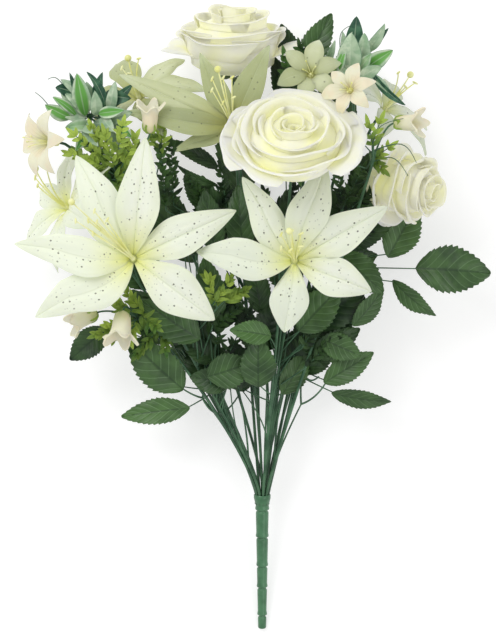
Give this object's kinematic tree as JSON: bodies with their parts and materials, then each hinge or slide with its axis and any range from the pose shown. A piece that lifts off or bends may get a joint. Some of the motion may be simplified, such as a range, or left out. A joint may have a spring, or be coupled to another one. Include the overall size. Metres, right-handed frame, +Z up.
{
  "type": "mixed flower bouquet",
  "caption": "Mixed artificial flower bouquet lying on a table: cream roses, white lilies, trumpet flowers, bells, serrated leaves and sprays, with every stem set in a moulded handle.",
  "frame": {"origin": "on the table, under the middle of the whole bouquet", "axes": "+X across the bouquet, +Y from the handle to the blooms, +Z up off the table"},
  "size_m": [0.3716, 0.491, 0.1868],
  "materials": {
    "handle_plastic": "moulded green plastic, satin",
    "leaf_fabric": "printed leaf cloth with a light varnish on a green plastic-covered wire",
    "rose_fabric": "cream woven petal cloth, yellow-green in its depth",
    "lily_fabric": "white petal cloth, printed with a green throat, a midrib and fine speckles",
    "stamen_plastic": "moulded pale yellow plastic",
    "small_flower_fabric": "cream cloth tinted peach",
    "lime_plastic": "moulded lime green plastic",
    "grey_green_plastic": "moulded grey-green plastic with a pale bloom"
  },
  "bodies": {
    "root": {"handle": "handle_plastic", "stem_rose_centre": "leaf_fabric", "rose_centre": "rose_fabric", "stem_rose_top": "leaf_fabric", "rose_top": "rose_fabric", "stem_rose_right": "leaf_fabric", "rose_right": "rose_fabric", "stem_lily_left": "leaf_fabric", "lily_left": "lily_fabric", "lily_left_stamens": "stamen_plastic", "stem_lily_front": "leaf_fabric", "lily_front": "lily_fabric", "lily_front_stamens": "stamen_plastic", "stem_lily_upper": "leaf_fabric", "lily_upper": "lily_fabric", "lily_upper_stamens": "stamen_plastic", "stem_lily_back_left": "leaf_fabric", "lily_back_left": "lily_fabric", "lily_back_left_stamens": "stamen_plastic", "stem_lily_far_left": "leaf_fabric", "lily_far_left": "lily_fabric", "lily_far_left_stamens": "stamen_plastic", "stem_lily_right": "leaf_fabric", "lily_right": "lily_fabric", "lily_right_stamens": "stamen_plastic", "stem_trumpet_left": "leaf_fabric", "trumpet_left": "small_flower_fabric", "stem_trumpet_right": "leaf_fabric", "trumpet_right": "small_flower_fabric", "stem_trumpet_back": "leaf_fabric", "trumpet_back": "small_flower_fabric", "lime_spray_low": "lime_plastic", "bell_low_right": "small_flower_fabric", "bell_low_left": "small_flower_fabric", "lime_spray_left": "lime_plastic", "bell_upper_left": "small_flower_fabric", "lime_spray_right": "lime_plastic", "bell_right": "small_flower_fabric", "grey_sprig_left": "grey_green_plastic", "grey_sprig_right": "grey_green_plastic"}
  },
  "joints": []
}
